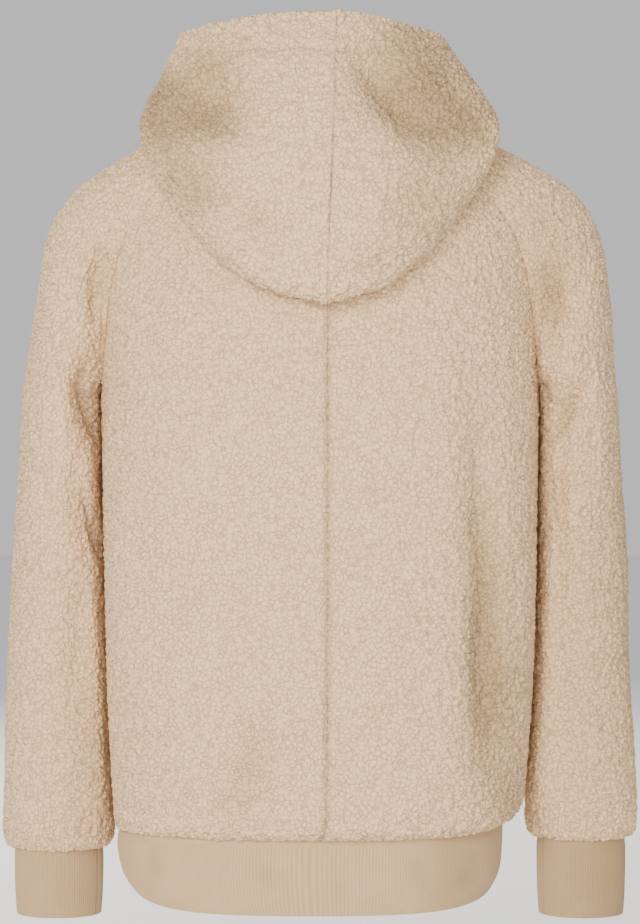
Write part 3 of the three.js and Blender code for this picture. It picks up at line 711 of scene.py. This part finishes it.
def clothMesh(name, outer, inner, attributes, sense, close=False):
    count, rows = outer.shape[:2]
    few, fewRows = inner.shape[:2]
    places = np.concatenate([outer.reshape(-1, 3), inner.reshape(-1, 3)]) / 1000
    fine = np.arange(count * rows).reshape(count, rows)
    sparse = count * rows + np.arange(few * fewRows).reshape(few, fewRows)
    if close:  # a ring: its last column is its first
        fine[-1] = fine[0]
        sparse[-1] = sparse[0]

    def quads(net, turned):
        made = np.stack([net[:-1, :-1], net[1:, :-1], net[1:, 1:], net[:-1, 1:]], -1).reshape(-1, 4)
        return made[:, ::-1] if turned else made
    faces = np.concatenate([quads(fine, sense < 0), quads(sparse, sense > 0)])
    rims = strip(fine[:, 0], sparse[:, 0], sense > 0) + strip(fine[:, -1], sparse[:, -1], sense < 0)
    if not close:
        rims += strip(fine[0], sparse[0], sense < 0) + strip(fine[-1], sparse[-1], sense > 0)
    rims = np.array(rims)
    corners = np.concatenate([faces.ravel(), rims.ravel()])
    starts = np.concatenate([np.arange(len(faces)) * 4, len(faces) * 4 + np.arange(len(rims)) * 3])
    used = np.unique(corners)
    renumber = np.full(len(places), -1)
    renumber[used] = np.arange(len(used))
    made = bpy.data.meshes.new(name)
    made.vertices.add(len(used))
    made.vertices.foreach_set("co", places[used].ravel().astype(np.float32))
    made.loops.add(len(corners))
    made.loops.foreach_set("vertex_index", renumber[corners].astype(np.int32))
    made.polygons.add(len(starts))
    made.polygons.foreach_set("loop_start", starts.astype(np.int32))
    made.update(calc_edges=True)
    made.validate()
    made.shade_smooth()
    for key, (onOuter, onInner) in attributes.items():
        values = [onOuter.reshape(count * rows, -1), onInner.reshape(few * fewRows, -1)]
        values = np.concatenate(values)[used]
        vector = values.shape[1] == 3
        layer = made.attributes.new(key, "FLOAT_VECTOR" if vector else "FLOAT", "POINT")
        layer.data.foreach_set("vector" if vector else "value", values.ravel().astype(np.float32))
    return made


def addPiece(name, mesh, cloth):
    piece = bpy.data.objects.new(f"{name}_cloth", mesh)
    bpy.context.scene.collection.objects.link(piece)
    mesh.materials.append(cloth)
    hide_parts(name)
    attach(piece, "root")
    print(name, len(mesh.polygons), "faces")
    return piece


def raisePile(piece):  # lets the pile's relief into the mesh
    mover = piece.modifiers.new("pile", "NODES")
    mover.node_group = pileTree
    graph = bpy.context.evaluated_depsgraph_get()
    raised = bpy.data.meshes.new_from_object(piece.evaluated_get(graph))
    plain = piece.data
    piece.modifiers.clear()
    piece.data = raised
    bpy.data.meshes.remove(plain)
    raised.shade_smooth()


def fleecePiece(name, face, sense, us, vs, seams=(), free=(), leans=None,
                thick=None, folds=None, grooves=None, calmed=None):
    U, V = np.meshgrid(us, vs, indexing="ij")
    grid = face(U, V)
    if calmed is not None:
        grid = calmed(grid, us, vs)
    out = sense * unit(np.cross(np.gradient(grid, axis=0), np.gradient(grid, axis=1)))
    paintedShade = np.zeros(U.shape)
    if folds is not None:
        fall, shade = folds(U, V, grid)
        # painted shade: darker in the folds and creases, and along the shade strokes
        paintedShade = np.clip(shade + np.maximum(-fall, 0) / walls["darkFold"], 0, walls["paintedShadeMost"])
        grid = grid + out * fall[..., None]
    away = edgeDistances(grid)
    depth = np.full(U.shape, walls["fleeceThick"]) if thick is None else thick(U, V)
    drawn = np.zeros(U.shape)
    pileHere = np.ones(U.shape)
    grooveShade = np.zeros(U.shape)
    for edge in seams:
        gone = away[edge]
        near = np.exp(-(gone / walls["seamReach"]) ** 2)
        drawn = np.maximum(drawn, walls["seamRoll"] * near)
        depth = mix(walls["seamThick"], depth, smooth(gone / walls["seamThins"]))
        pileHere *= smooth((gone + 0.4) / 2.6)
        line = np.exp(-(gone / walls["seamLine"]) ** 2)
        grooveShade = np.maximum(grooveShade, line * walls["seamShade"].get(edge, walls["seamShadeElse"]))
        if leans and edge in leans:
            share = smooth(1 - gone / walls["seamLeans"])[..., None]
            out = unit(mix(out, leans[edge], share))
    for edge in free:  # a free edge is rounded over
        gone = away[edge]
        round_ = walls["freeEdge"]
        t = np.clip(1 - gone / round_, 0, 1)
        bulge = np.sqrt(1 - t ** 2 * 0.98)
        drawn = drawn + depth / 2 * (1 - bulge)
        depth = depth * bulge
    if grooves is not None:
        cutIn, line = grooves(U, V, away)
        drawn = drawn + cutIn
        grooveShade = np.maximum(grooveShade, line)
    outer = grid - out * drawn[..., None]
    inner = outer - out * depth[..., None]
    step = walls["coarse"]
    sparse = (slice(None, None, step), slice(None, None, step))
    sparseInner = inner[sparse]
    zero = np.zeros(sparseInner.shape[:2])
    attributes = {
        "seat": (outer / 1000, sparseInner / 1000),
        "pile": (pileHere, zero),
        "outside": (np.ones(U.shape), zero),
        "grooveShade": (grooveShade, zero),
        "paintedShade": (paintedShade, zero),
    }
    mesh = clothMesh(name, outer, sparseInner, attributes, sense)
    piece = addPiece(name, mesh, fleeceCloth)
    raisePile(piece)
    return piece


def steps(*spans):  # start, (end, count), (end, count) ...
    made = [np.array([spans[0]])]
    for end, count in spans[1:]:
        made.append(np.linspace(made[-1][-1], end, count + 1)[1:])
    return np.concatenate(made)


rows = {
    "body": steps(0.0, (1.0, 196), (2.0, 140)),
    "sleeve": steps(0.0, (1.0, 208), (2.0, 140)),
    "hood": steps(0.0, (0.05, 16), (0.24, 36), (0.42, 36), (0.47, 16), (0.6, 28), (0.8, 48), (1.0, 56)),
}


def calmNear(edge, way, over):
    return smooth(np.abs(edge - way) / over)


def calmUnderarm(grid, us, vs):  # irons out the crease level with the underarm
    share = np.exp(-((vs - 1) / walls["calmOver"]) ** 2)[None, :, None]
    share = share * (1 - np.abs(us) ** 8)[:, None, None]
    for _ in range(walls["calmRounds"]):
        mean = (grid[:, :-2] + 2 * grid[:, 1:-1] + grid[:, 2:]) / 4
        grid[:, 1:-1] = mix(grid[:, 1:-1], mean, share[:, 1:-1])
    return grid


def settleSleeve(grid, us, vs):
    grid = calmUnderarm(grid, us, vs)
    lean = sleeves["closer"] * smooth((0.98 - vs) / 0.15) * smooth(vs / 0.2)
    grid[..., 0] -= np.sign(grid[..., 0]) * lean[None, :]
    middle, spread = sleeves["fullAt"]
    swell = np.exp(-((us - middle) / spread) ** 2) * smooth((1 - us) / 0.08)
    grid[..., 1] += sleeves["fuller"] * swell[:, None] * lean[None, :] / sleeves["closer"]
    return grid


def sideLeans(hand, facing, vs, out):  # ways out along a raglan seam, and the side's own below it
    own = out(vs)
    join = raglanOut(hand, facing, np.maximum(vs, 1 + 1e-4))
    below = smooth(1 - (1 - vs) * 30)[:, None]
    return np.where((vs > 1)[:, None], join, unit(mix(own, np.array([0, 0, -1.0]), below)))


def lipThick(V, length):
    return mix(walls["lipThick"], walls["fleeceThick"], smooth(V * length / walls["lipReach"]))


def makeBack(hand, name):
    def face(u, v):
        return bodyFace(hand, "back", u, v)

    def out(v):
        return outwardOf(face, -hand, np.ones_like(v), v)
    us = np.linspace(0, 1, 113)
    vs = rows["body"]
    leans = {
        "last": sideLeans(hand, "back", vs, out)[None],
        "high": neckOut(hand, us * hooding["neckBack"])[:, None],
    }
    fleecePiece(
        name, face, -hand, us, vs,
        seams=("first", "last", "high"), leans=leans,
        thick=lambda U, V: lipThick(V, torso["toUnderarm"]), calmed=calmUnderarm,
        folds=lambda U, V, p: (foldDepth(torso["folds"] + torso["creases"], p[..., 0], p[..., 2])
                               * calmNear(1, U, 0.15) * calmNear(2, V, 0.15) * calmNear(0, V, 0.1),
                               foldDepth(torso["shadeStrokes"], p[..., 0], p[..., 2])))


def makeFront():
    def face(u, v):
        return bodyFace(1, "front", u, v)
    us = np.linspace(-1, 1, 161)
    vs = rows["body"]
    sides = {}
    for edge, hand in (("last", 1), ("first", -1)):
        def out(v, hand=hand):
            return outwardOf(lambda a, b: bodyFace(hand, "front", a, b), hand, np.ones_like(v), v)
        sides[edge] = sideLeans(hand, "front", vs, out)[None]
    stations = 180 - np.abs(us) * (180 - hooding["neckFront"])
    sides["high"] = np.where((us < 0)[:, None], neckOut(-1, stations), neckOut(1, stations))[:, None]
    fleecePiece(
        "front", face, 1, us, vs,
        seams=("first", "last", "high"), leans=sides,
        thick=lambda U, V: lipThick(V, torso["toUnderarm"]), calmed=calmUnderarm,
        folds=lambda U, V, p: (foldDepth(torso["frontFolds"], p[..., 0], p[..., 2])
                               * calmNear(1, np.abs(U), 0.2) * calmNear(2, V, 0.2) * calmNear(0, V, 0.1), 0))


def makeSleeve(hand, name):
    def face(u, v):
        return sleeveFace(hand, u, v)
    us = np.linspace(-1, 1, 177)
    vs = rows["sleeve"]
    leans = {}
    for edge, u, facing in (("last", 1, "back"), ("first", -1, "front")):
        def out(v, u=u):
            return outwardOf(face, hand, np.full_like(v, u), v)
        leans[edge] = sideLeans(hand, facing, vs, out)[None]
    back, front = hooding["neckBack"], hooding["neckFront"]
    leans["high"] = neckOut(hand, mix(back, front, (1 - us) / 2))[:, None]
    span = sleeves["degreeSpan"]

    def spread(table):  # degrees are drawn out to be about as long as millimetres
        return [[a * span, fromZ, b * span, toZ, half, height] for a, fromZ, b, toZ, half, height in table]
    folds = spread(sleeves["folds"][hand] + sleeves["creases"][hand])
    shadePaint = spread(sleeves["shadeStrokes"][hand])

    def moved(U, V, p):
        cut = np.where(V <= 1, 180, shoulder["cut"](V - 1))
        depth = foldDepth(folds, U * cut * span, p[..., 2])
        return (depth * calmNear(1, np.abs(U), 0.09) * calmNear(2, V, 0.15) * calmNear(0, V, 0.1),
                foldDepth(shadePaint, U * cut * span, p[..., 2]))
    fleecePiece(
        name, face, hand, us, vs,
        seams=("first", "last", "high"), leans=leans,
        thick=lambda U, V: lipThick(V, sleeves["toUnderarm"]), folds=moved, calmed=settleSleeve)


def makeHood(hand, name):
    def face(station, v):
        return hoodFace(hand, station, v)
    us = steps(0.0, (50.0, 48), (130.0, 96), (180.0, 48))
    vs = rows["hood"]

    def thick(U, V):
        pressed = smooth((U - 60) / 30) * smooth(3 - np.abs(V - 0.445) / 0.06)
        plain = mix(walls["fleeceThick"], hooding["pressedThick"], pressed)
        return mix(plain, hooding["tunnelThick"], smooth((V - hooding["tunnelWay"]) * 50))

    def grooves(U, V, away):
        stitches = hooding["stitches"]
        upFrom = np.abs(V - hooding["tunnelWay"]) * hooding["rimWay"]
        upFrom = upFrom * (0.25 + 0.75 * smooth((150 - U) / 120))
        return (stitches["deep"] * np.exp(-(upFrom / stitches["reach"]) ** 2),
                stitches["dark"] * np.exp(-(upFrom / stitches["line"]) ** 2))
    fleecePiece(
        name, face, -hand, us, vs,
        seams=("first", "last", "low"), free=("high",), leans={"low": neckOut(hand, us)[:, None]},
        thick=thick, grooves=grooves,
        folds=lambda U, V, p: (foldDepth(hooding["folds"] + hooding["creases"], p[..., 0], p[..., 2])
                               * smooth(10 * V - 5) * smooth((90 - U) / 25),
                               foldDepth(hooding["shadeStrokes"], p[..., 0], p[..., 2]) * smooth(10 * V - 4.5)))


# The rib bands.

ribs = {
    "pitch": 2.25,  # from rib to rib, mm
    "thick": 2.8,
    "hemColumns": ["z", "mid", "half", "back", "front"],
    "hem": [
        [0, -650.8, 8, 174.8, 111.8, 102.8], [4, -654.6, 8.1, 175.6, 112.6, 103.6],
        [14, -664, 9, 178, 115, 106], [36, -686, 9.3, 178, 115, 106],
        [56, -709.5, 8.3, 175, 113, 104], [68, -722, 7.3, 168, 110, 101],
    ],
    "hemSideLift": 24,
    "hemRibs": 396,
    "hemRibHeight": 0.22,
    "hemCreases": [
        [-82, -664, -100, -710, 8, -1.6], [-18, -690, -16, -712, 7, -1.2], [152, -668, 146, -690, 7, -1.5],
        [60, -670, 40, -700, 12, -1.2], [-140, -668, -128, -706, 8, -1.4],
    ],
    "hemShade": (0.35, 80, 40),  # how much painted shade, from where towards the wearer's right, and over what
    "darkCrease": 8,  # a crease so deep would get the darkest painted shade, mm
    "cuffColumns": ["z", "half", "depth"],
    "cuff": [[0, -675, 40, 35.2], [4, -678.8, 40.8, 35.8], [14, -687, 42, 36.5],
             [50, -724, 41.5, 34], [74, -747.5, 40, 31]],
    "cuffMid": (247.5, -45),
    "cuffHalf": 42,
    "cuffRibs": 108,
    "cuffRibHeight": 0.3,
    # painted shade on each cuff's side towards the wearer's left, then towards the right
    "cuffShade": {1: (0.15, 0.5), -1: (0.35, 0.75)},
}
hem = reader(ribs["hem"], ribs["hemColumns"])
cuff = reader(ribs["cuff"], ribs["cuffColumns"])


def ribPiece(name, face, count, perRib, ways, height, seamAt, shadePaint, dents=None):
    length = ways[-1]
    U, V = np.meshgrid(np.linspace(0, 360, count * perRib + 1) + seamAt, ways / length, indexing="ij")
    grid = face(U, V)
    out = outwardOf(face, 1, U, V)
    turns = (U - seamAt) / 360 * count
    ridge = 0.5 + 0.5 * np.cos(2 * np.pi * (turns + 0.5))
    low = V * length
    show = smooth((low - 5) / 6)
    grid = grid + out * ((ridge - 1) * height * show)[..., None]
    if dents is not None:
        grid = grid + out * dents(grid)[..., None]
    away = edgeDistances(grid)
    seam = np.minimum(away["first"], away["last"])
    grid = grid - out * (0.8 * np.exp(-(seam / 1.6) ** 2))[..., None]
    t = np.clip(1 - away["high"] / 1.5, 0, 1)  # the edge is a fold, so it is round
    bulge = np.sqrt(1 - t ** 2 * 0.98)
    half = ribs["thick"] / 2
    outer = grid - out * (half * (1 - bulge))[..., None]
    inner = outer - out * (ribs["thick"] * bulge)[..., None]
    sparse = (slice(None, None, perRib), slice(None, None, 2))
    sparseInner = inner[sparse]
    around = away["first"]
    seat = place(around, away["low"], 0) / 1000
    attributes = {
        "seat": (seat, seat[sparse]),
        # the ridges' share, which sets the painted shade in the rib valleys
        "outside": (mix(1, ridge, show), np.full(sparseInner.shape[:2], 0.7)),
        # painted shade along the band's seam
        "grooveShade": (np.exp(-(seam / 0.9) ** 2), np.zeros(sparseInner.shape[:2])),
        # painted shade in the creases and on the side away from the key light
        "paintedShade": (shadePaint(grid), np.zeros(sparseInner.shape[:2])),
    }
    mesh = clothMesh(name, outer, sparseInner, attributes, 1)
    return addPiece(name, mesh, ribCloth)


def makeHem():
    length = ribs["hem"][-1][0]

    def face(degrees, v):
        way = v * length
        seamLift = np.where(sine(degrees) < 0, torso["sideLift"][1], torso["sideLift"][0])
        lift = mix(seamLift, ribs["hemSideLift"], smooth(v)) * liftShare(degrees)
        p = ringPoint(hem, way, degrees, hem["z"](way) + lift)
        p[..., 0] += hem["mid"](way)
        return p
    ways = np.concatenate([np.linspace(0, 66.4, 29), [66.8, 67.3, 67.7, 68]])

    def dents(p):
        return foldDepth(ribs["hemCreases"], p[..., 0], p[..., 2]) * (p[..., 1] > 0)

    # painted shade: darker towards the wearer's right, away from the key light, and in the creases
    def shadePaint(p):
        share, start, over = ribs["hemShade"]
        return share * smooth((-p[..., 0] - start) / over) - dents(p) / ribs["darkCrease"]
    ribPiece("hem_band", face, ribs["hemRibs"], 4, ways, ribs["hemRibHeight"],
             90, shadePaint, dents)


def makeCuff(hand, name):
    length = ribs["cuff"][-1][0]
    drop = sleeves["drop"][0 if hand > 0 else 1]

    def face(degrees, v):
        way = v * length
        z = cuff["z"](way) - drop * (1 - v) ** 2
        return place(hand * ribs["cuffMid"][0] + cuff["half"](way) * sine(degrees),
                     ribs["cuffMid"][1] + cuff["depth"](way) * cosine(degrees), z)
    ways = np.concatenate([np.linspace(0, 72.4, 27), [72.9, 73.3, 73.7, 74]])

    def shadePaint(p):  # painted shade: the cuffs are darker towards the wearer's right, away from the key light
        half = ribs["cuffHalf"]
        toRight = (ribs["cuffMid"][0] * hand + half - p[..., 0]) / (2 * half)
        return mix(*ribs["cuffShade"][hand], smooth(toRight))
    ribPiece(name, face, ribs["cuffRibs"], 5, ways, ribs["cuffRibHeight"], -hand * 66, shadePaint)


makeBack(1, "back_left")
makeBack(-1, "back_right")
makeFront()
makeSleeve(1, "sleeve_left")
makeSleeve(-1, "sleeve_right")
makeHood(1, "hood_left")
makeHood(-1, "hood_right")
makeHem()
makeCuff(1, "cuff_left")
makeCuff(-1, "cuff_right")
print("cloth made")
